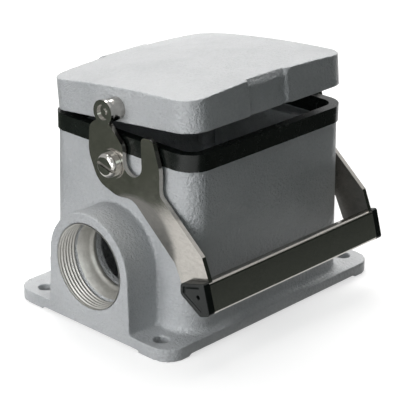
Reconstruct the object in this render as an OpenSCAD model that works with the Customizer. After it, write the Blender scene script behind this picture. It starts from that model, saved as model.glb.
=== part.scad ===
// Surface-mounting base of a heavy duty rectangular connector.
// A die-cast housing with a side cable entry, a hinged cover and one locking lever.
// X runs along the handle, Y runs from the handle to the hinge, Z is up.
// The origin is on the mounting plane, in the middle of the four mounting holes.

/* [Base plate] */
// Reach of the base plate beyond each end of the housing
plate_reach_x = 18; // [16:0.5:25]
// Reach of the base plate beyond the front and the back of the housing
plate_reach_y = 5.2; // [4.4:0.2:10]
// Thickness of the base plate
plate_t = 4.6; // [4:0.1:6]
// Corner radius of the base plate
plate_r = 9; // [6:0.5:12]
// Height of the corner foot pads
foot_h = 0.9; // [0.6:0.1:2]
// Length of a foot pad along the long edge
foot_l = 12.5; // [11:0.5:16]
// Length of a foot pad along the short edge
foot_w = 17.5; // [15:0.5:20]
// Distance of the mounting holes from the short edges of the plate
hole_edge_x = 7.5; // [7:0.5:9.5]
// Distance of the mounting holes from the long edges of the plate
hole_edge_y = 11.5; // [8:0.5:16]
// Mounting hole diameter
hole_d = 6.4; // [5:0.1:7]

/* [Housing] */
// Outside length at the rim
rim_l = 95; // [93:0.5:97]
// Outside width at the rim
rim_w = 82.6; // [80:0.2:84]
// Corner radius of the rim
rim_r = 9.5; // [7:0.5:12]
// Height of the bare rim over the mounting plane
rim_z = 81; // [78:0.5:90]
// Wall thickness at the rim
wall = 2.8; // [2.4:0.1:3.4]
// Draft angle of the walls
draft = 1.2; // [0.5:0.1:1.6]
// Thickness of the closed floor
floor_t = 4; // [3:0.5:6]
// Width of the fillet where the walls meet the plate
foot_fillet = 1.6; // [0.8:0.2:2]

/* [Insert seats] */
// Screw spacing of one contact insert along X
insert_pitch_x = 77.5; // [77:0.5:79]
// Screw spacing of one contact insert along Y
insert_pitch_y = 27; // [24:0.5:30]
// Distance between the middles of the two inserts
insert_gap_y = 36; // [35:0.5:40]
// Depth of the seats below the rim
insert_depth = 6.4; // [6:0.1:9]
// Distance from the screw axes to the inner face of a seat block
seat_edge = 3.15; // [2.8:0.05:4]
// Width of a seat block
seat_w = 48; // [40:1:48]
// Height of a seat block
seat_h = 27; // [20:1:28]
// Diameter of a corner screw lug
pillar_d = 8.4; // [7.6:0.2:9]
// Core diameter of the M4 insert screw holes
insert_hole_d = 3.3; // [3:0.1:4]
// Depth of the insert screw holes
insert_hole_depth = 10; // [8:0.5:12]

/* [Cable entry] */
// Height of the entry axis over the mounting plane
entry_z = 28.6; // [27:0.2:32]
// Outside diameter of the entry boss
boss_d = 46; // [44:0.5:50]
// Draft angle of the boss flanks
boss_draft = 2.5; // [1:0.5:3]
// Bore diameter at the root of the entry thread
entry_d = 37; // [34:0.1:38]
// Length of the threaded stretch
entry_thread_l = 9.8; // [8:0.2:11]
// Diameter of the plain stretch behind the thread
relief_d = 34.4; // [32:0.2:35]
// Length of the plain stretch
relief_l = 6; // [5:0.2:7]
// Diameter of the passage into the housing
passage_d = 29; // [24:0.5:30]
// Chamfer at the mouth of the entry
mouth_chamfer = 0.6; // [0.3:0.1:1]

/* [Seal] */
// Thickness of the seal legs
seal_t = 0.7; // [0.5:0.1:1]
// Thickness of the seal over the rim
seal_top_t = 1.3; // [1:0.1:2]
// Length of the outer seal leg, measured from the top
seal_outer_h = 7.2; // [6:0.2:9]
// Length of the inner seal leg, measured from the top
seal_inner_h = 7.5; // [6:0.1:7.5]

/* [Cover] */
// Overhang of the cover over the housing's rim
cover_lip = 0.4; // [0:0.1:0.8]
// Corner radius of the cover
cover_r = 10; // [8:0.5:12]
// Height of the cover from its rim to the middle of its top
cover_h = 16.6; // [15.5:0.2:20]
// Radius of the domed top
dome_r = 560; // [500:20:900]
// Wall thickness of the cover
cover_wall = 2.6; // [2:0.1:3.2]
// Angle at which the cover stands open on the lever
cover_tilt = 5.8; // [5.6:0.1:7]
// Middle of the finger recess in the front face
recess_x = -3; // [-6:0.5:6]
// Width of the finger recess
recess_w = 23; // [16:1:26]
// Depth of the finger recess
recess_t = 0.8; // [0.4:0.1:1]
// Height of the slanted top of the recess
slant_h = 3; // [2:0.2:4]
// Extra depth of the slanted top
slant_t = 1.2; // [0.6:0.1:1.4]

/* [Cover hinge] */
// Distance of the hinge axis behind the rim
hinge_reach = 6.2; // [6:0.1:7.4]
// Height of the hinge axis over the seal
hinge_rise = 6.2; // [6:0.1:8]
// Diameter of the hinge pin
pin_d = 4; // [3:0.1:4.4]
// Radial clearance of the hinge pin
pin_gap = 0.06; // [0.03:0.01:0.1]
// Radius of the cover knuckle
knuckle_r = 4.5; // [3.8:0.1:4.6]
// Radius of the housing ears
ear_r = 4.7; // [3.8:0.1:4.8]
// Radius of the crown that joins the knuckle to the cover
crown_r = 8.4; // [7:0.2:8.8]
// Width of the cover knuckle
knuckle_w = 25; // [20:0.5:30]
// Height of the tapered foot of an ear on the housing wall
ear_foot = 14; // [10:0.5:18]
// Thickness of each housing ear
ear_t = 6; // [4:0.5:8]
// Side gap between the knuckle and an ear
knuckle_gap = 0.35; // [0.3:0.05:0.8]
// Diameter of the pin head
pin_head_d = 6; // [5.2:0.2:7]
// Thickness of the pin head
pin_head_t = 1; // [0.8:0.1:1.5]

/* [Locking lever] */
// Thickness of the lever sheet
sheet_t = 2; // [1.6:0.1:2.2]
// Distance from the end of the rim to the inner face of an arm
arm_gap = 2; // [1.8:0.1:2.6]
// Depth of the pivot axis below the rim
pivot_drop = 11; // [10.8:0.1:11.4]
// Distance from the front of the rim to the top edge of the handle
handle_reach = 13.6; // [12:0.2:16]
// Height of the handle's front plate
handle_h = 13.4; // [12:0.2:15]
// Depth of the handle's folded flanges
flange_d = 4; // [3:0.2:5]
// Outer bend radius of the handle's flanges
bend_r = 1.6; // [1:0.1:2]
// Width of the slot that takes the cover peg
slot_d = 10.8; // [10.6:0.1:11]

/* [Handle caps] */
// Thickness of a cap outside the arm
cap_t = 3.4; // [2.6:0.1:4.5]
// Width of the raised rim of a cap
cap_rim = 1.3; // [1:0.1:2]
// Depth of the groove in the cap face
cap_groove = 0.8; // [0.5:0.1:1.5]
// Gap between a cap and the handle
cap_gap = 0.1; // [0.05:0.05:0.3]
// Diameter of the hole in the cap face
cap_hole_d = 1.8; // [1:0.1:2.4]

/* [Lever pivots] */
// Diameter of the pivot bush
bush_d = 8; // [7:0.1:9]
// Radial running clearance of the lever on its bush
bush_gap = 0.08; // [0.05:0.01:0.1]
// Wall thickness of the pivot bush
bush_wall = 1.4; // [1:0.1:1.6]
// Diameter of the outer washer
washer_d = 12.6; // [11.5:0.1:13]
// Thickness of the outer washer
washer_t = 0.9; // [0.6:0.1:1.2]
// Diameter of the inner spacer
spacer_d = 12.4; // [11:0.2:13]
// Diameter of the pivot pad on the housing
pad_d = 9.8; // [9:0.1:10]
// Diameter of the screw head
head_d = 10.4; // [9.6:0.1:11]
// Radius that rounds the edge of the screw head
head_round = 1.8; // [0.8:0.1:2]
// Angle of the screwdriver slot over the mounting plane
driver_angle = 15; // [0:5:180]
// Height of the screw head
head_h = 3; // [2.4:0.1:3.6]
// Width of the screwdriver slot
driver_w = 1.5; // [1:0.1:2]
// Depth of the screwdriver slot
driver_t = 1.3; // [0.8:0.1:1.8]
// Side play of the lever between spacer and washer
arm_play = 0.15; // [0.1:0.05:0.3]

/* [Cover pegs] */
// Diameter of the peg sleeve
sleeve_d = 9.6; // [8.8:0.1:9.7]
// Length of the peg sleeve
sleeve_l = 5.6; // [4.8:0.1:6]
// Diameter of the peg core
core_d = 5.6; // [4.6:0.1:6]
// Diameter of the peg head
peg_head_d = 10.4; // [9.8:0.1:10.8]
// Thickness of the peg head
peg_head_t = 2.4; // [1.8:0.1:2.8]
// Length of the flare under the peg head
peg_flare = 1.2; // [0.6:0.1:1.6]
// Depth of the dish in the peg head
dish_t = 1; // [0.6:0.1:1.2]
// Height of the peg axis over the cover's rim
peg_rise = 5.9; // [5.7:0.1:6.4]

/* [Hidden] */

$fn = 64;
eps = 0.01;
cut = 1;
part_gap = 0.3;
screw_gap = 0.1;
plate_l = rim_l + 2 * plate_reach_x;
plate_w = rim_w + 2 * plate_reach_y;
plate_z = foot_h + plate_t;
hole_pitch_x = plate_l - 2 * hole_edge_x;
hole_pitch_y = plate_w - 2 * hole_edge_y;
cover_l = rim_l + 2 * cover_lip;
cover_w = rim_w + 2 * cover_lip;
hinge_y = rim_w / 2 + hinge_reach;
arm_x = rim_l / 2 + arm_gap;
pivot_z = rim_z - pivot_drop;
seat_x = insert_pitch_x / 2 - seat_edge;
seal_top = rim_z + seal_top_t;
seal_bottom = seal_top - seal_outer_h;
floor_z = foot_h + floor_t;
hinge_z = seal_top + hinge_rise;
wall_top = seal_bottom - part_gap;
cavity_l = rim_l - 2 * wall;
cavity_w = rim_w - 2 * wall;
cavity_r = rim_r - wall;
dome_top = seal_top + cover_h;
front_edge_z = dome_top - cover_w * cover_w / (8 * dome_r);
seat_z = rim_z - insert_depth;
cover_bore_z = seal_top + peg_rise;
arm_outer = arm_x + sheet_t;
screw_seat = arm_outer + arm_play + washer_t;
pivot_land = 1;
pivot_face = rim_l / 2 + pivot_land;
screw_d = bush_d - 2 * bush_wall;
screw_depth = 8;
screw_tip_gap = 0.5;
driver_length = 2 * head_d;
boss_x = plate_l / 2;
boss_depth = 26;
core_depth = 5;
core_tip_gap = 0.4;
cap_inner_x = arm_outer + cap_gap;

// Lever outline from the pivot: [Y, Z, corner radius].
lobe_front = 6.6;
slot_y = -lobe_front - slot_d / 2;
slot_z = 3;
handle_lean = 15.5;
handle_y = -rim_w / 2 - handle_reach;
handle_top = [handle_y, -34.6];
handle_back = [handle_y + 14.1, -42.2];
lever_outline = [
    [-lobe_front, slot_z, 0], [-lobe_front, 9, 5], [4.6, 20, 1.6], [12.7, 14, 5],
    [13.4, 2, 12], [8, -9.6, 10], [-3, -13.2, 12], [-12.2, -12, 8],
    [-36, -32.6, 3], handle_back_point(), handle_foot_back(), handle_foot_front(), handle_head_front(),
    [handle_y + 4, -25.8, 0.8], [-27.4, -6.2, 3], [-27.4, 4, 14], [-23.2, 16.2, 2.6],
    [-16.9, 15.6, 2.2], [-lobe_front - slot_d, slot_z, 0]
];
function handle_point(down, back) = [
    handle_top[0] - down * sin(handle_lean) + back * cos(handle_lean),
    handle_top[1] - down * cos(handle_lean) - back * sin(handle_lean)
];
function with_r(p, r) = [p[0], p[1], r];
function handle_back_point() = with_r(handle_back, 1.5);
function handle_foot_back() = with_r(handle_point(handle_h, 4.6), 1.5);
function handle_foot_front() = with_r(handle_point(handle_h, 0.3), 1);
function handle_head_front() = with_r(handle_point(0, 0.3), 0.6);

// Cap outline in the handle's own directions: [back, down, corner radius].
cap_outline = [
    [0, 0, 1], [13, 0, 1.6], [14, 4.6, 1.6], [5.4, handle_h + 0.4, 1.8], [0, handle_h, 1.4]
];

function unit(v) = v / norm(v);
function turn(a, b) = a[0] * b[1] - a[1] * b[0];

// Points of a polygon whose corners are arcs of the radius given with each point.
function arc_points(prev, here, next, r) =
    let(
        back = unit([prev[0] - here[0], prev[1] - here[1]]),
        ahead = unit([next[0] - here[0], next[1] - here[1]]),
        half = acos(back * ahead) / 2,
        reach = r / tan(half),
        middle = [here[0], here[1]] + unit(back + ahead) * r / sin(half),
        first = [here[0], here[1]] + back * reach - middle,
        sweep = (180 - 2 * half) * sign(turn(back, ahead)) * -1,
        steps = max(2, ceil(abs(sweep) / 12))
    )
    [
        for (i = [0 : steps])
            let(a = sweep * i / steps)
            middle + [first[0] * cos(a) - first[1] * sin(a), first[0] * sin(a) + first[1] * cos(a)]
    ];

function rounded(points) = [
    for (i = [0 : len(points) - 1])
        let(
            n = len(points),
            prev = points[(i + n - 1) % n],
            here = points[i],
            next = points[(i + 1) % n]
        )
        each here[2] > 0 ? arc_points(prev, here, next, here[2]) : [[here[0], here[1]]]
];

// Flat plate with round corners, standing on z = 0.
module plate(l, w, h, r) {
    linear_extrude(h) {
        square([l - 2 * r, w], center = true);
        square([l, w - 2 * r], center = true);
        for (sx = [-1, 1], sy = [-1, 1])
            translate([sx * (l / 2 - r), sy * (w / 2 - r)])
                circle(r);
    }
}

// Block with round corners whose size is given at its top and which grows by grow at its foot.
module drafted(l, w, h, r, grow) {
    foot = r + grow;
    for (sx = [-1, 1], sy = [-1, 1])
        translate([sx * (l / 2 - r), sy * (w / 2 - r), 0])
            cylinder(h = h, r1 = foot, r2 = r);
    rotate([90, 0, 0])
        translate([0, 0, -(w / 2 - r)])
            linear_extrude(w - 2 * r)
                polygon([[-l / 2 - grow, 0], [l / 2 + grow, 0], [l / 2, h], [-l / 2, h]]);
    rotate([90, 0, 90])
        translate([0, 0, -(l / 2 - r)])
            linear_extrude(l - 2 * r)
                polygon([[-w / 2 - grow, 0], [w / 2 + grow, 0], [w / 2, h], [-w / 2, h]]);
}

// Cylinder along +X that starts at x.
module x_rod(x, length, d) {
    translate([x, 0, 0])
        rotate([0, 90, 0])
            cylinder(h = length, d = d);
}

// Cone along +X that starts at x.
module x_cone(x, length, d1, d2) {
    translate([x, 0, 0])
        rotate([0, 90, 0])
            cylinder(h = length, d1 = d1, d2 = d2);
}

// Profile drawn in [radius, X], turned about the X axis from x.
module x_turned(x) {
    translate([x, 0, 0])
        rotate([0, 90, 0])
            rotate_extrude()
                children();
}

// Profile drawn in [Y, Z], extruded along +X from x.
module yz_extrude(x, length) {
    translate([x, 0, 0])
        rotate([90, 0, 90])
            linear_extrude(length)
                children();
}

// The children and their mirror image on the other end.
module both_ends() {
    children();
    mirror([1, 0, 0])
        children();
}

// Places the children in the cover, which stands open by cover_tilt.
module in_cover() {
    translate([0, hinge_y, hinge_z])
        rotate([-cover_tilt, 0, 0])
            translate([0, -hinge_y, -hinge_z])
                children();
}

module feet() {
    intersection() {
        plate(plate_l, plate_w, foot_h + eps, plate_r);
        for (sx = [-1, 1], sy = [-1, 1])
            translate([sx * (plate_l - foot_l) / 2, sy * (plate_w - foot_w) / 2, foot_h / 2])
                cube([foot_l + eps, foot_w + eps, foot_h + 2 * eps], center = true);
    }
}

module outer_body() {
    grow = (wall_top - plate_z) * tan(draft);
    translate([0, 0, plate_z - eps])
        drafted(rim_l, rim_w, wall_top - plate_z + 2 * eps, rim_r, grow);
    translate([0, 0, plate_z - eps])
        drafted(rim_l + 2 * grow, rim_w + 2 * grow, foot_fillet, rim_r + grow, foot_fillet);
    translate([0, 0, wall_top])
        plate(rim_l, rim_w, rim_z - wall_top, rim_r);
}

// Inside of the housing, straight where the seal's inner leg sits and drafted below it.
module cavity() {
    straight_z = seal_top - seal_inner_h - part_gap;
    depth = straight_z - floor_z;
    shrink = depth * tan(draft);
    translate([0, 0, straight_z])
        rotate([180, 0, 0])
            drafted(cavity_l - 2 * shrink, cavity_w - 2 * shrink, depth, cavity_r - shrink, shrink);
    translate([0, 0, straight_z - eps])
        plate(cavity_l, cavity_w, rim_z - straight_z + cut, cavity_r);
}

module entry_boss() {
    flank = (entry_z - foot_h) * tan(boss_draft);
    translate([0, 0, entry_z])
        x_rod(-boss_x, boss_depth, boss_d);
    yz_extrude(-boss_x, boss_depth)
        polygon([
            [-boss_d / 2 - flank, foot_h], [boss_d / 2 + flank, foot_h],
            [boss_d / 2, entry_z], [-boss_d / 2, entry_z]
        ]);
}

module entry_bore() {
    thread_end = -boss_x + entry_thread_l;
    relief_end = thread_end + relief_l;
    step_l = (relief_d - passage_d) / 2;
    passage_end = -cavity_l / 2 + 2 * wall;
    translate([0, 0, entry_z]) {
        x_rod(-boss_x - cut, entry_thread_l + cut, entry_d);
        x_cone(-boss_x - eps, mouth_chamfer, entry_d + 2 * mouth_chamfer, entry_d);
        x_rod(thread_end - eps, relief_l + eps, relief_d);
        x_cone(relief_end - eps, step_l, relief_d, passage_d);
        x_rod(relief_end, passage_end - relief_end, passage_d);
    }
}

// Blocks and corner lugs on the end walls that carry the contact inserts.
module insert_seats() {
    screw_x = insert_pitch_x / 2;
    inner_y = (insert_gap_y - insert_pitch_y) / 2;
    outer_y = (insert_gap_y + insert_pitch_y) / 2;
    wall_x = rim_l / 2 - wall / 2;
    web = pillar_d * 0.7;
    both_ends()
        translate([0, 0, seat_z - seat_h])
            difference() {
                union() {
                    translate([seat_x, -seat_w / 2, 0])
                        cube([wall_x - seat_x, seat_w, seat_h]);
                    for (sy = [-1, 1])
                        translate([screw_x, sy * outer_y, 0]) {
                            cylinder(h = seat_h, d = pillar_d);
                            translate([0, -web / 2, 0])
                                cube([wall_x - screw_x, web, seat_h]);
                        }
                }
                for (y = [-outer_y, -inner_y, inner_y, outer_y])
                    translate([screw_x, y, seat_h - insert_hole_depth])
                        cylinder(h = insert_hole_depth + cut, d = insert_hole_d);
            }
}

module hinge_ears() {
    inner = knuckle_w / 2 + knuckle_gap;
    root = rim_w / 2 - wall / 2;
    face = hinge_y - ear_r;
    ledge = seal_bottom - 2 * part_gap;
    both_ends()
        difference() {
            yz_extrude(inner, ear_t) {
                translate([hinge_y, hinge_z])
                    circle(ear_r);
                polygon([
                    [root, ledge - ear_foot], [root, ledge], [face, ledge],
                    [face, hinge_z], [hinge_y + ear_r, hinge_z], [hinge_y + ear_r, hinge_z - ear_r]
                ]);
            }
            translate([0, hinge_y, hinge_z])
                x_rod(0, inner + ear_t + cut, pin_d + 2 * pin_gap);
        }
}

module pivot_pads() {
    translate([0, 0, pivot_z])
        both_ends()
            x_rod(rim_l / 2 - wall, wall + pivot_land, pad_d);
}

module pivot_holes() {
    translate([0, 0, pivot_z])
        both_ends()
            x_rod(pivot_face - screw_depth, screw_depth + cut, screw_d);
}

module base_housing() {
    color([0.67, 0.68, 0.7])
        difference() {
            union() {
                feet();
                translate([0, 0, foot_h])
                    plate(plate_l, plate_w, plate_t, plate_r);
                difference() {
                    union() {
                        outer_body();
                        entry_boss();
                    }
                    cavity();
                }
                insert_seats();
                hinge_ears();
                pivot_pads();
            }
            entry_bore();
            pivot_holes();
            for (sx = [-1, 1], sy = [-1, 1])
                translate([sx * hole_pitch_x / 2, sy * hole_pitch_y / 2, -cut])
                    cylinder(h = plate_z + 2 * cut, d = hole_d);
        }
}

module rim_seal() {
    color([0.06, 0.07, 0.07])
        difference() {
            translate([0, 0, seal_bottom])
                plate(rim_l + 2 * seal_t, rim_w + 2 * seal_t, seal_outer_h, rim_r + seal_t);
            translate([0, 0, seal_bottom - cut])
                difference() {
                    plate(rim_l, rim_w, rim_z - seal_bottom + cut, rim_r);
                    translate([0, 0, seal_outer_h - seal_inner_h + cut])
                        plate(cavity_l, cavity_w, seal_inner_h, cavity_r);
                }
            translate([0, 0, seal_bottom - cut])
                plate(
                    cavity_l - 2 * seal_t, cavity_w - 2 * seal_t,
                    seal_outer_h + 2 * cut, cavity_r - seal_t
                );
        }
}

module cover_shell() {
    difference() {
        intersection() {
            translate([0, 0, seal_top])
                plate(cover_l, cover_w, cover_h + cut, cover_r);
            translate([0, 0, dome_top - dome_r])
                sphere(r = dome_r, $fn = 200);
        }
        intersection() {
            translate([0, 0, seal_top - cut])
                plate(
                    cover_l - 2 * cover_wall, cover_w - 2 * cover_wall,
                    cover_h + cut, cover_r - cover_wall
                );
            translate([0, 0, dome_top - dome_r - cover_wall])
                sphere(r = dome_r, $fn = 200);
        }
        finger_recess();
    }
}

// Shallow flat in the front face that leans back under the top edge.
module finger_recess() {
    front = -cover_w / 2;
    yz_extrude(recess_x - recess_w / 2, recess_w)
        polygon([
            [front - cut, seal_top - cut], [front + recess_t, seal_top - cut],
            [front + recess_t, front_edge_z - slant_h],
            [front + recess_t + 2 * slant_t, front_edge_z + slant_h],
            [front - cut, front_edge_z + slant_h]
        ]);
}

module cover_knuckle() {
    crown_y = hinge_y - knuckle_r;
    crown_z = hinge_z;
    yz_extrude(-knuckle_w / 2, knuckle_w) {
        translate([hinge_y, hinge_z])
            circle(knuckle_r);
        intersection() {
            translate([crown_y, crown_z])
                circle(crown_r);
            translate([cover_w / 2 - cover_wall / 2, hinge_z - knuckle_r / 2])
                square([2 * crown_r, 2 * crown_r]);
        }
    }
}

module cover() {
    color([0.72, 0.73, 0.75])
        in_cover()
            difference() {
                union() {
                    cover_shell();
                    cover_knuckle();
                    translate([0, 0, cover_bore_z])
                        both_ends()
                            x_rod(cover_l / 2 - core_depth - cover_wall / 2, core_depth, sleeve_d);
                }
                translate([0, hinge_y, hinge_z])
                    x_rod(-knuckle_w, 2 * knuckle_w, pin_d + 2 * pin_gap);
                translate([0, 0, cover_bore_z])
                    both_ends()
                        x_rod(cover_l / 2 - core_depth + core_tip_gap, core_depth, core_d);
            }
}

module lever_arm() {
    difference() {
        translate([0, 0, pivot_z])
            yz_extrude(arm_x, sheet_t)
                difference() {
                    polygon(rounded(lever_outline));
                    translate([slot_y, slot_z])
                        circle(slot_d / 2);
                }
        translate([0, 0, pivot_z])
            x_rod(arm_x - cut, sheet_t + 2 * cut, bush_d + 2 * bush_gap);
    }
}

module handle_section() {
    channel_t = sheet_t * 0.8;
    difference() {
        polygon(rounded([
            [0, 0, bend_r], [flange_d, 0, 0], [flange_d, handle_h, 0], [0, handle_h, bend_r]
        ]));
        translate([channel_t, channel_t])
            square([flange_d, handle_h - 2 * channel_t]);
    }
}

// Places a profile drawn as [back, down] at the handle.
module at_handle() {
    translate([handle_top[0], pivot_z + handle_top[1]])
        rotate(-handle_lean)
            mirror([0, 1])
                children();
}

module lever_bail() {
    color([0.62, 0.62, 0.58]) {
        both_ends()
            lever_arm();
        yz_extrude(-arm_outer, 2 * arm_outer)
            at_handle()
                handle_section();
    }
}

module handle_cap() {
    color([0.05, 0.06, 0.06])
        difference() {
            yz_extrude(cap_inner_x, cap_t)
                at_handle()
                    polygon(rounded(cap_outline));
            yz_extrude(cap_inner_x + cap_t - cap_groove, cap_groove + cut)
                at_handle()
                    cap_groove_profile();
            cap_pin_hole();
        }
}

// The groove that follows the back and the slanted edge of the cap face.
module cap_groove_profile() {
    inset = cap_rim;
    outer = [
        [3, inset], [13 - inset, inset], [14 - inset - 0.2, 4.2], [5 - inset * 0.4, handle_h - inset - 0.3]
    ];
    inner = [[3.6, handle_h - inset - 1.6], [11.2, 4.4], [10.6, inset + 0.7], [3, inset + 0.7]];
    polygon(concat(outer, inner));
}

module cap_pin_hole() {
    hole = handle_point(5.6, 4.4);
    translate([0, hole[0], pivot_z + hole[1]])
        x_rod(cap_inner_x + cap_t - 1.6, 1.6 + cut, cap_hole_d);
}

module handle_cap_left() {
    mirror([1, 0, 0])
        handle_cap();
}

module handle_cap_right() {
    handle_cap();
}

module pivot_screw() {
    tip_x = pivot_face - screw_depth + screw_tip_gap;
    face_x = screw_seat + head_h;
    translate([0, 0, pivot_z])
        difference() {
            union() {
                x_turned(screw_seat)
                    polygon(rounded([
                        [0, 0, 0], [head_d / 2, 0, 0], [head_d / 2, head_h, head_round], [0, head_h, 0]
                    ]));
                x_rod(tip_x, screw_seat - tip_x + eps, screw_d - screw_gap);
            }
            translate([face_x - driver_t, 0, 0])
                rotate([driver_angle, 0, 0])
                    translate([0, -driver_length / 2, -driver_w / 2])
                        cube([driver_t + cut, driver_length, driver_w]);
        }
}

module pivot_screws() {
    color([0.6, 0.59, 0.55])
        both_ends()
            pivot_screw();
}

module pivot_bush() {
    color([0.66, 0.64, 0.58])
        difference() {
            translate([0, 0, pivot_z])
                x_rod(pivot_face, screw_seat - pivot_face, bush_d);
            translate([0, 0, pivot_z])
                x_rod(pivot_face - cut, screw_seat - pivot_face + 2 * cut, screw_d);
        }
}

module pivot_bush_left() {
    mirror([1, 0, 0])
        pivot_bush();
}

module pivot_bush_right() {
    pivot_bush();
}

module ring(x, length, outer_d, inner_d) {
    translate([0, 0, pivot_z])
        difference() {
            x_rod(x, length, outer_d);
            x_rod(x - cut, length + 2 * cut, inner_d);
        }
}

module pivot_washer() {
    color([0.66, 0.65, 0.61])
        ring(screw_seat - washer_t, washer_t, washer_d, bush_d + screw_gap);
}

module pivot_washer_left() {
    mirror([1, 0, 0])
        pivot_washer();
}

module pivot_washer_right() {
    pivot_washer();
}

module arm_spacer() {
    color([0.12, 0.12, 0.12])
        ring(pivot_face, arm_x - arm_play - pivot_face, spacer_d, bush_d + screw_gap);
}

module arm_spacer_left() {
    mirror([1, 0, 0])
        arm_spacer();
}

module arm_spacer_right() {
    arm_spacer();
}

module cover_peg() {
    head_x = cover_l / 2 + sleeve_l;
    tip_x = cover_l / 2 - core_depth + 2 * core_tip_gap;
    dish_d = peg_head_d * 0.62;
    bump_d = dish_d * 0.4;
    color([0.6, 0.59, 0.55])
        in_cover()
            translate([0, 0, cover_bore_z])
                difference() {
                    union() {
                        x_rod(tip_x, head_x - tip_x + eps, core_d - screw_gap);
                        x_cone(head_x, peg_flare, sleeve_d, peg_head_d);
                        x_rod(head_x + peg_flare, peg_head_t - peg_flare, peg_head_d);
                    }
                    difference() {
                        x_rod(head_x + peg_head_t - dish_t, dish_t + cut, dish_d);
                        x_rod(head_x, peg_head_t - dish_t / 2, bump_d);
                    }
                }
}

module cover_peg_left() {
    mirror([1, 0, 0])
        cover_peg();
}

module cover_peg_right() {
    cover_peg();
}

module peg_sleeve() {
    color([0.66, 0.65, 0.6])
        in_cover()
            translate([0, 0, cover_bore_z])
                difference() {
                    x_rod(cover_l / 2, sleeve_l, sleeve_d);
                    x_rod(cover_l / 2 - cut, sleeve_l + 2 * cut, core_d);
                }
}

module peg_sleeve_left() {
    mirror([1, 0, 0])
        peg_sleeve();
}

module peg_sleeve_right() {
    peg_sleeve();
}

module hinge_pin() {
    half = knuckle_w / 2 + knuckle_gap + ear_t;
    color([0.6, 0.6, 0.58])
        translate([0, hinge_y, hinge_z]) {
            x_rod(-half, 2 * half + pin_head_t, pin_d);
            x_rod(-half - pin_head_t, pin_head_t, pin_head_d);
        }
}

base_housing();
rim_seal();
cover();
lever_bail();
handle_cap_left();
handle_cap_right();
pivot_screws();
pivot_bush_left();
pivot_bush_right();
pivot_washer_left();
pivot_washer_right();
arm_spacer_left();
arm_spacer_right();
cover_peg_left();
cover_peg_right();
peg_sleeve_left();
peg_sleeve_right();
hinge_pin();
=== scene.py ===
import math

import bpy
from mathutils import Matrix, Vector

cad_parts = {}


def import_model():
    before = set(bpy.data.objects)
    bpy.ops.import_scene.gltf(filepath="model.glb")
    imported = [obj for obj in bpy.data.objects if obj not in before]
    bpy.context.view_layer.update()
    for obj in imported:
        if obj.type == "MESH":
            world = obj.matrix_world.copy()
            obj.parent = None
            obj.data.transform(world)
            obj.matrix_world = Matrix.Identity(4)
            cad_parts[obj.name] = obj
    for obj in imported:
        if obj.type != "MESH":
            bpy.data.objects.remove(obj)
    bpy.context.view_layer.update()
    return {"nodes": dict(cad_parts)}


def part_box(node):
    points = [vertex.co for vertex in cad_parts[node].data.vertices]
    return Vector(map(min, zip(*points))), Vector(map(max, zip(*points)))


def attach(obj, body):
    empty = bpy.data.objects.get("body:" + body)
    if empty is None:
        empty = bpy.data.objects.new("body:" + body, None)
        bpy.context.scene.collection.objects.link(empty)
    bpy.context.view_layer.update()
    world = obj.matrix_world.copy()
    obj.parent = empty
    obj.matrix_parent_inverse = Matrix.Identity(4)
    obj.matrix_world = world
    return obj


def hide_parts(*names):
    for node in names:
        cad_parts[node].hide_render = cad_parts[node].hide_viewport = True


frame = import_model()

NODES = frame["nodes"]
MM = 0.001

# Camera
CAMERA_PLACE = (-0.47359, -0.44732, 0.30699)
CAMERA_AZIMUTH = -46.693
CAMERA_ELEVATION = 22.349
CAMERA_ROLL = 0.551
LENS_MM = 146.39
SENSOR_MM = 36

# Entry thread PG29: sizes in metres
THREAD_PITCH = 25.4 / 16 * MM
THREAD_ROOT = 18.42 * MM
THREAD_CREST = 17.75 * MM
THREAD_LENGTH = 9.8 * MM
THREAD_SAMPLES = 8
ENTRY_STEPS = 128
RELIEF_R = 17.14 * MM
RELIEF_LENGTH = 6 * MM
PASSAGE_R = 14.44 * MM
PASSAGE_LENGTH = 2.2 * MM
ENTRY_Z = 28.6 * MM

# Finger recess of the cover
RECESS_SIDE_X = 8.5 * MM
RECESS_EASE = 2.4 * MM
RECESS_FRONT_Y = -39.5 * MM

RECESS_PASSES = 40

# Rounding of the moulded parts: voxel in metres, smoothing passes, share of faces kept
HOUSING_ROUNDING = (0.00055, 3, 0.17)
COVER_ROUNDING = (0.0004, 3, 0.30)
CAP_ROUNDING = (0.00016, 2, 0.5)
SMOOTH_FACTOR = 0.5

# Broken edges of the seal and the sheet
SEAL_EDGE = 0.00022
SHEET_EDGE = 0.00025
EDGE_ANGLE = math.radians(40)

# The middle range of a noise, where nearly all its values lie
NOISE_LOW = 0.3
NOISE_HIGH = 0.7

# CAD nodes that stay visible
TURNED_NODES = (
    "pivot_screws", "pivot_bush_left", "pivot_bush_right", "pivot_washer_left",
    "pivot_washer_right", "cover_peg_left", "cover_peg_right", "peg_sleeve_left",
    "peg_sleeve_right", "hinge_pin",
)
SPACER_NODES = ("arm_spacer_left", "arm_spacer_right")

# Lamps: place, aim and size in metres, power in watts, colour
CENTRE = (0, 0, 0.05)
LAMPS = {
    "top_box": ((0.32, 0.42, 1.0), CENTRE, (0.8, 0.8), 12.6, (1, 0.985, 0.97)),
    "top_front": ((-0.15, -0.34, 1.05), CENTRE, (0.5, 0.22), 0.6, (0.95, 1, 0.98)),
    "left_box": ((-1.15, 0.10, 0.48), CENTRE, (0.6, 1.2), 8.6, (0.985, 0.99, 1)),
    "right_box": ((1.15, 0.05, 0.5), CENTRE, (0.5, 0.6), 3.6, (1, 1, 1)),
    "left_bounce": ((-0.45, -0.03, 0.03), (-0.06, 0, 0.06), (0.5, 0.25), 1.1, (1, 1, 1)),
    "front_fill": ((-0.85, -0.9, 0.5), CENTRE, (0.4, 0.3), 0.95, (0.85, 1, 0.98)),
}

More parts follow.
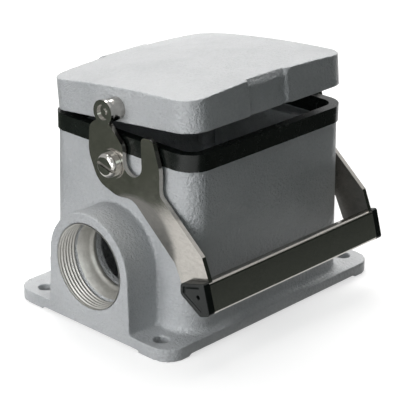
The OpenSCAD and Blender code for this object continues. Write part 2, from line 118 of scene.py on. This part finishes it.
# Studio: the rays that see the white surroundings, colours and cards in metres
SEEN_RAYS = ("Is Camera Ray", "Is Glossy Ray", "Is Transmission Ray")
FLOOR_HALF = 3.0
FLOOR_SEEN = (0.50, 0.50, 0.50)
FLOOR_BOUNCE = (0.05, 0.053, 0.053)
FLOOR_GLOW_NEAR = 0.64
FLOOR_GLOW_FAR = 1.0
FLOOR_GLOW_REACH = (0.25, 0.95)
FILL_COLOUR = (0.9, 1.0, 1.0)
FILL_STRENGTH = 0.015
# Colours of the reflection-only cards: painted dark reflections; the olive one gives the lever's
# upper arms their dark olive tone
DARK_GREY = (0.028, 0.036, 0.029)
OLIVE_GREY = (0.058, 0.068, 0.052)
CARD_Z = 0.0006
DARK_REFLECTION_CARDS = {
    "card_back_left": (OLIVE_GREY, [
        (-0.90, -0.28, CARD_Z), (0.05, 0.157, CARD_Z), (0.05, 1.3, CARD_Z), (-0.90, 1.3, CARD_Z),
    ]),
    "card_front": (DARK_GREY, [
        (-0.10, -0.08, CARD_Z), (1.6, -0.08, CARD_Z), (1.6, -1.6, CARD_Z), (-0.10, -1.6, CARD_Z),
    ]),
    "card_right": (DARK_GREY, [(0.2, -1.4, 0), (1.6, -0.3, 0), (1.6, -0.3, 0.9), (0.2, -1.4, 0.9)]),
}


# ---------------------------------------------------------------- node tools
class Graph:
    """A material's node tree with short calls for the nodes used here."""

    def __init__(self, name):
        self.material = bpy.data.materials.new(name)
        self.material.use_nodes = True
        self.tree = self.material.node_tree
        self.shader = self.tree.nodes["Principled BSDF"]
        self.place = self.tree.nodes.new("ShaderNodeTexCoord").outputs["Object"]

    def link(self, source, target):
        self.tree.links.new(source, target)

    def plain(self, **values):
        for name, value in values.items():
            self.shader.inputs[name.replace("_", " ")].default_value = value

    def stretched(self, scale):
        node = self.tree.nodes.new("ShaderNodeMapping")
        node.inputs["Scale"].default_value = scale
        self.link(self.place, node.inputs["Vector"])
        return node.outputs["Vector"]

    def noise(self, scale, detail=4, rough=0.55, vector=None):
        node = self.tree.nodes.new("ShaderNodeTexNoise")
        node.inputs["Scale"].default_value = scale
        node.inputs["Detail"].default_value = detail
        node.inputs["Roughness"].default_value = rough
        self.link(vector or self.place, node.inputs["Vector"])
        return node.outputs["Fac"]

    def ramp(self, source, low, high, value_low, value_high):
        node = self.tree.nodes.new("ShaderNodeMapRange")
        node.inputs["From Min"].default_value = low
        node.inputs["From Max"].default_value = high
        node.inputs["To Min"].default_value = value_low
        node.inputs["To Max"].default_value = value_high
        self.link(source, node.inputs["Value"])
        return node.outputs["Result"]

    def colours(self, source, stops):
        node = self.tree.nodes.new("ShaderNodeValToRGB")
        elements = node.color_ramp.elements
        while len(elements) < len(stops):
            elements.new(0.5)
        for element, (position, colour) in zip(elements, stops):
            element.position = position
            element.color = (*colour, 1)
        self.link(source, node.inputs["Fac"])
        return node.outputs["Color"]

    def summed(self, first, second, share):
        node = self.tree.nodes.new("ShaderNodeMath")
        node.operation = "MULTIPLY_ADD"
        self.link(second, node.inputs[0])
        node.inputs[1].default_value = share
        self.link(first, node.inputs[2])
        return node.outputs["Value"]

    def colour(self, source):
        self.link(source, self.shader.inputs["Base Color"])

    def roughness(self, source):
        self.link(source, self.shader.inputs["Roughness"])

    def uneven_roughness(self, scale, smoothest, roughest):
        source = self.noise(scale)
        self.roughness(self.ramp(source, NOISE_LOW, NOISE_HIGH, smoothest, roughest))

    def bump(self, height, strength, distance):
        node = self.tree.nodes.new("ShaderNodeBump")
        node.inputs["Strength"].default_value = strength
        node.inputs["Distance"].default_value = distance
        self.link(height, node.inputs["Height"])
        self.link(node.outputs["Normal"], self.shader.inputs["Normal"])
        self.link(node.outputs["Normal"], self.shader.inputs["Coat Normal"])


# ---------------------------------------------------------------- materials
def powder_coat():
    """Grey powder coat on a casting: fine orange peel, faint mottling."""
    g = Graph("powder_coat")
    cloud = g.noise(38)
    fine = g.noise(750, 4, 0.7)
    tone = g.summed(cloud, fine, 0.8)
    g.colour(g.colours(tone, [(0.60, (0.39, 0.402, 0.415)), (1.0, (0.475, 0.487, 0.50))]))
    g.plain(IOR=1.5, Coat_Weight=0.45, Coat_Roughness=0.12)
    g.uneven_roughness(140, 0.34, 0.46)
    g.bump(g.summed(g.noise(700, 2), g.noise(1500, 3), 0.6), strength=1.0, distance=0.00055)
    return g.material


def seal_rubber():
    """Black moulded rubber with a soft sheen and fine dust."""
    g = Graph("seal_rubber")
    dust = g.noise(260, 5, 0.65)
    g.colour(g.colours(dust, [(0.35, (0.0035, 0.0050, 0.0042)), (0.80, (0.010, 0.013, 0.011))]))
    g.plain(Specular_IOR_Level=0.35)
    g.uneven_roughness(420, 0.20, 0.30)
    g.bump(g.noise(1500), strength=0.05, distance=0.00003)
    return g.material


def lever_steel():
    """Tumbled stainless sheet: blurred lengthwise grain, faint blotches."""
    g = Graph("lever_steel")
    g.plain(Metallic=1.0)
    blotch = g.noise(120, 5, 0.6)
    grain = g.noise(1000, 5, 0.7, g.stretched((1, 0.5, 1)))
    tone = g.summed(grain, blotch, 0.35)
    g.colour(g.colours(tone, [(0.45, (0.37, 0.36, 0.335)), (0.90, (0.50, 0.475, 0.44))]))
    g.roughness(g.ramp(g.summed(blotch, grain, 0.6), 0.5, 1.1, 0.10, 0.20))
    g.bump(g.summed(grain, g.noise(1700, 3), 0.6), strength=0.22, distance=0.00006)
    return g.material


def cap_plastic():
    """Glossy black moulded plastic with light flow marks."""
    g = Graph("cap_plastic")
    flow = g.noise(180)
    g.colour(g.colours(flow, [(0.3, (0.005, 0.007, 0.006)), (0.8, (0.012, 0.015, 0.014))]))
    g.plain(Specular_IOR_Level=0.3)
    g.uneven_roughness(600, 0.16, 0.28)
    g.bump(g.noise(900, 3), strength=0.14, distance=0.00005)
    return g.material


def turned_steel():
    """Nickel-plated turned steel with fine tool rings round the X axis."""
    g = Graph("turned_steel")
    g.plain(Metallic=1.0)
    rings = g.noise(1, 3, 0.6, g.stretched((5200, 350, 350)))
    stain = g.noise(300)
    g.colour(g.colours(stain, [(0.35, (0.38, 0.37, 0.35)), (0.8, (0.54, 0.53, 0.50))]))
    g.roughness(g.ramp(g.summed(stain, rings, 0.4), 0.4, 1.0, 0.07, 0.18))
    g.bump(rings, strength=0.10, distance=0.00002)
    return g.material


def spacer_plastic():
    """Off-white acetal with a faint grain."""
    g = Graph("spacer_plastic")
    grain = g.noise(700)
    g.colour(g.colours(grain, [(0.3, (0.55, 0.55, 0.53)), (0.8, (0.66, 0.66, 0.63))]))
    g.uneven_roughness(300, 0.38, 0.50)
    g.bump(grain, strength=0.12, distance=0.00005)
    return g.material


def bare_alloy():
    """Machined die-cast alloy: tool marks along the thread and dull spots."""
    g = Graph("bare_alloy")
    g.plain(Metallic=0.85)
    marks = g.noise(1, 4, 0.6, g.stretched((3800, 260, 260)))
    spots = g.noise(520, 6, 0.7)
    tone = g.summed(spots, marks, 0.35)
    g.colour(g.colours(tone, [(0.40, (0.40, 0.395, 0.37)), (0.95, (0.62, 0.61, 0.58))]))
    g.roughness(g.ramp(tone, 0.5, 1.0, 0.40, 0.60))
    g.bump(tone, strength=0.30, distance=0.00008)
    return g.material


# ---------------------------------------------------------------- mesh tools
def apply_modifiers(piece):
    bpy.context.view_layer.update()
    graph = bpy.context.evaluated_depsgraph_get()
    mesh = bpy.data.meshes.new_from_object(piece.evaluated_get(graph))
    piece.modifiers.clear()
    piece.data = mesh


def baked(source, name, modifiers):
    """A new object that holds source's mesh after the given modifiers."""
    piece = bpy.data.objects.new(name, source.data.copy())
    bpy.context.scene.collection.objects.link(piece)
    for kind, values in modifiers:
        modifier = piece.modifiers.new(kind.lower(), kind)
        for key, value in values.items():
            setattr(modifier, key, value)
    apply_modifiers(piece)
    piece.data.name = name
    return piece


def dressed(piece, body, material):
    """Gives a new piece its body and its material."""
    piece.data.materials.clear()
    piece.data.materials.append(material)
    piece.data.shade_smooth()
    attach(piece, body)
    return piece


def softened(node, name, rounding, body, material, ease=None):
    """A copy of a CAD node whose sharp edges are rounded like a casting's.

    ease(piece) may work on the fine mesh before it is thinned out.
    """
    voxel, passes, keep = rounding
    fine = baked(NODES[node], name, [
        ("REMESH", {"mode": "VOXEL", "voxel_size": voxel}),
        ("SMOOTH", {"factor": SMOOTH_FACTOR, "iterations": passes}),
    ])
    if ease:
        ease(fine)
    piece = baked(fine, name, [("DECIMATE", {"ratio": keep})])
    bpy.data.objects.remove(fine)
    piece.name = name
    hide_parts(node)
    return dressed(piece, body, material)


def recess_eased(cover):
    """Turns the steep side of the finger recess into a gentle slope."""
    group = cover.vertex_groups.new(name="recess_side")
    near = [
        v.index for v in cover.data.vertices
        if abs(v.co.x - RECESS_SIDE_X) < RECESS_EASE and v.co.y < RECESS_FRONT_Y
    ]
    group.add(near, 1.0, "REPLACE")
    smooth = cover.modifiers.new("smooth", "SMOOTH")
    smooth.factor = SMOOTH_FACTOR
    smooth.iterations = RECESS_PASSES
    smooth.vertex_group = group.name
    apply_modifiers(cover)
    cover.vertex_groups.clear()


def grid_piece(name, rows, body, material):
    """A strip of quads through equally long rows of points."""
    mesh = bpy.data.meshes.new(name)
    width = len(rows[0])
    points = [p for row in rows for p in row]
    faces = [
        (r * width + c, r * width + c + 1, (r + 1) * width + c + 1, (r + 1) * width + c)
        for r in range(len(rows) - 1)
        for c in range(width - 1)
    ]
    mesh.from_pydata(points, [], faces)
    mesh.update()
    piece = bpy.data.objects.new(name, mesh)
    bpy.context.scene.collection.objects.link(piece)
    return dressed(piece, body, material)


def rounded_edges(width):
    """Modifiers that break the sharp edges of a thin part and keep its flats flat."""
    return [
        ("BEVEL", {
            "width": width, "segments": 2, "limit_method": "ANGLE", "angle_limit": EDGE_ANGLE,
        }),
        ("WEIGHTED_NORMAL", {"keep_sharp": False, "weight": 50}),
    ]


# ---------------------------------------------------------------- sub-parts
def casting_pieces(paint):
    softened("base_housing", "housing_casting", HOUSING_ROUNDING, "base", paint)
    softened(
        "cover", "cover_casting", COVER_ROUNDING, "cover", paint, recess_eased,
    )


def seal_piece(rubber):
    seal = baked(NODES["rim_seal"], "seal_profile", rounded_edges(SEAL_EDGE))
    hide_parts("rim_seal")
    dressed(seal, "base", rubber)


def entry_point(x, radius, angle):
    return (x, radius * math.cos(angle), ENTRY_Z + radius * math.sin(angle))


def thread_liner(metal):
    """The cut thread: a helical ridge of rounded 80 degree form."""
    face_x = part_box("base_housing")[0].x
    turns = THREAD_LENGTH / THREAD_PITCH
    columns = int(turns * THREAD_SAMPLES)
    rows = []
    for step in range(ENTRY_STEPS + 1):
        share = step / ENTRY_STEPS
        row = []
        for column in range(columns + 1):
            along = column / THREAD_SAMPLES
            wave = 0.5 - 0.5 * math.cos(2 * math.pi * (along - share))
            crest = wave ** 1.4 if 0.45 < along < turns else 0
            radius = THREAD_ROOT - (THREAD_ROOT - THREAD_CREST) * crest
            x = face_x + along * THREAD_PITCH
            row.append(entry_point(x, radius, 2 * math.pi * share))
        rows.append(row)
    return grid_piece("entry_thread", rows, "base", metal)


def bore_liner(metal):
    """Bare stretch behind the thread and the step down to the passage."""
    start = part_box("base_housing")[0].x + THREAD_LENGTH
    end = start + RELIEF_LENGTH
    profile = [
        (start, THREAD_CREST), (start + 0.0004, RELIEF_R), (end - 0.0010, RELIEF_R - 0.0014),
        (end, RELIEF_R - 0.0019), (end + 0.0005, PASSAGE_R + 0.0003),
        (end + 0.0012, PASSAGE_R), (end + PASSAGE_LENGTH, PASSAGE_R),
    ]
    rows = [
        [entry_point(x, r, 2 * math.pi * step / ENTRY_STEPS) for x, r in profile]
        for step in range(ENTRY_STEPS + 1)
    ]
    return grid_piece("entry_bore", rows, "base", metal)


def lever_piece(steel):
    lever = baked(NODES["lever_bail"], "lever_sheet", rounded_edges(SHEET_EDGE))
    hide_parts("lever_bail")
    dressed(lever, "locking_lever", steel)


def cap_pieces(plastic):
    for side in ("left", "right"):
        softened(
            f"handle_cap_{side}", f"cap_shell_{side}", CAP_ROUNDING,
            "locking_lever", plastic,
        )


def paint_nodes(names, material):
    for name in names:
        node = NODES[name]
        node.data.materials.clear()
        node.data.materials.append(material)


# ---------------------------------------------------------------- studio
def camera():
    azimuth = math.radians(CAMERA_AZIMUTH)
    elevation = math.radians(CAMERA_ELEVATION)
    roll = math.radians(CAMERA_ROLL)
    back = Vector((
        math.sin(azimuth) * math.cos(elevation),
        -math.cos(azimuth) * math.cos(elevation),
        math.sin(elevation),
    ))
    right = Vector((math.cos(azimuth), math.sin(azimuth), 0))
    up = back.cross(right)
    level = right * math.cos(roll) + up * math.sin(roll)
    upright = up * math.cos(roll) - right * math.sin(roll)
    data = bpy.data.cameras.new("camera")
    data.lens = LENS_MM
    data.sensor_width = SENSOR_MM
    cam = bpy.data.objects.new("camera", data)
    bpy.context.scene.collection.objects.link(cam)
    turn = Matrix((level, upright, back)).transposed()
    cam.matrix_world = Matrix.Translation(CAMERA_PLACE) @ turn.to_4x4()
    bpy.context.scene.camera = cam


def light_path_mix(tree, *rays):
    """1 for the named kinds of ray, 0 for the rest."""
    path = tree.nodes.new("ShaderNodeLightPath")
    total = path.outputs[rays[0]]
    for ray in rays[1:]:
        node = tree.nodes.new("ShaderNodeMath")
        node.operation = "MAXIMUM"
        tree.links.new(total, node.inputs[0])
        tree.links.new(path.outputs[ray], node.inputs[1])
        total = node.outputs["Value"]
    return total


def stage_plane(name, corners, material):
    mesh = bpy.data.meshes.new(name)
    mesh.from_pydata(corners, [], [(0, 1, 2, 3)])
    mesh.materials.append(material)
    plane = bpy.data.objects.new(name, mesh)
    bpy.context.scene.collection.objects.link(plane)
    return plane


def floor_colour(tree, seen, shader):
    """One grey for the rays that see the paper, a darker one for its bounce."""
    mix = tree.nodes.new("ShaderNodeMix")
    mix.data_type = "RGBA"
    mix.inputs[6].default_value = (*FLOOR_BOUNCE, 1)
    mix.inputs[7].default_value = (*FLOOR_SEEN, 1)
    tree.links.new(seen, mix.inputs["Factor"])
    tree.links.new(mix.outputs[2], shader.inputs["Base Color"])


def floor_glow(tree, seen, shader):
    """A glow that only those rays see and that grows away from the object."""
    place = tree.nodes.new("ShaderNodeTexCoord")
    away = tree.nodes.new("ShaderNodeVectorMath")
    away.operation = "LENGTH"
    tree.links.new(place.outputs["Object"], away.inputs[0])
    rise = tree.nodes.new("ShaderNodeMapRange")
    rise.inputs["From Min"].default_value = FLOOR_GLOW_REACH[0]
    rise.inputs["From Max"].default_value = FLOOR_GLOW_REACH[1]
    rise.inputs["To Min"].default_value = FLOOR_GLOW_NEAR
    rise.inputs["To Max"].default_value = FLOOR_GLOW_FAR
    tree.links.new(away.outputs["Value"], rise.inputs["Value"])
    glow = tree.nodes.new("ShaderNodeMath")
    glow.operation = "MULTIPLY"
    tree.links.new(seen, glow.inputs[0])
    tree.links.new(rise.outputs["Result"], glow.inputs[1])
    shader.inputs["Emission Color"].default_value = (1, 1, 1, 1)
    tree.links.new(glow.outputs["Value"], shader.inputs["Emission Strength"])


def floor():
    """Pale paper: white around the object, its shadow kept, a weak bounce."""
    material = bpy.data.materials.new("floor_paper")
    material.use_nodes = True
    tree = material.node_tree
    shader = tree.nodes["Principled BSDF"]
    shader.inputs["Roughness"].default_value = 0.95
    shader.inputs["Specular IOR Level"].default_value = 0.0
    seen = light_path_mix(tree, *SEEN_RAYS)
    floor_colour(tree, seen, shader)
    floor_glow(tree, seen, shader)
    s = FLOOR_HALF
    stage_plane("floor", [(-s, -s, 0), (s, -s, 0), (s, s, 0), (-s, s, 0)], material)


def dark_reflection_cards():
    """Matt dark cards that only reflections see: painted dark reflections in the steel and the
    paint; they cast no shadow and give no bounce.
    """
    for name, (colour, corners) in DARK_REFLECTION_CARDS.items():
        material = bpy.data.materials.new(name)
        material.use_nodes = True
        shader = material.node_tree.nodes["Principled BSDF"]
        shader.inputs["Base Color"].default_value = (*colour, 1)
        shader.inputs["Roughness"].default_value = 1.0
        card = stage_plane(name, corners, material)
        card.visible_camera = False
        card.visible_diffuse = False
        card.visible_transmission = False
        card.visible_shadow = False


def lamp(name, place, aim, size, power, colour):
    data = bpy.data.lights.new(name, "AREA")
    data.shape = "RECTANGLE"
    data.size = size[0]
    data.size_y = size[1]
    data.energy = power
    data.color = colour
    light = bpy.data.objects.new(name, data)
    bpy.context.scene.collection.objects.link(light)
    light.location = place
    direction = Vector(aim) - Vector(place)
    light.rotation_mode = "QUATERNION"
    light.rotation_quaternion = direction.to_track_quat("-Z", "Y")
    light.visible_camera = False


def world():
    """White to the camera and in reflections, a dim fill for the object."""
    studio = bpy.data.worlds.new("studio")
    studio.use_nodes = True
    bpy.context.scene.world = studio
    tree = studio.node_tree
    fill = tree.nodes["Background"]
    fill.inputs["Color"].default_value = (*FILL_COLOUR, 1)
    fill.inputs["Strength"].default_value = FILL_STRENGTH
    white = tree.nodes.new("ShaderNodeBackground")
    white.inputs["Strength"].default_value = 1.0
    mix = tree.nodes.new("ShaderNodeMixShader")
    tree.links.new(light_path_mix(tree, *SEEN_RAYS), mix.inputs["Fac"])
    tree.links.new(fill.outputs["Background"], mix.inputs[1])
    tree.links.new(white.outputs["Background"], mix.inputs[2])
    tree.links.new(mix.outputs["Shader"], tree.nodes["World Output"].inputs["Surface"])


def lights():
    for name, settings in LAMPS.items():
        lamp(name, *settings)


# ---------------------------------------------------------------- build
bpy.context.scene.view_settings.view_transform = "Standard"
casting_pieces(powder_coat())
seal_piece(seal_rubber())
ALLOY = bare_alloy()
thread_liner(ALLOY)
bore_liner(ALLOY)
lever_piece(lever_steel())
cap_pieces(cap_plastic())
paint_nodes(TURNED_NODES, turned_steel())
paint_nodes(SPACER_NODES, spacer_plastic())
camera()
floor()
dark_reflection_cards()
lights()
world()
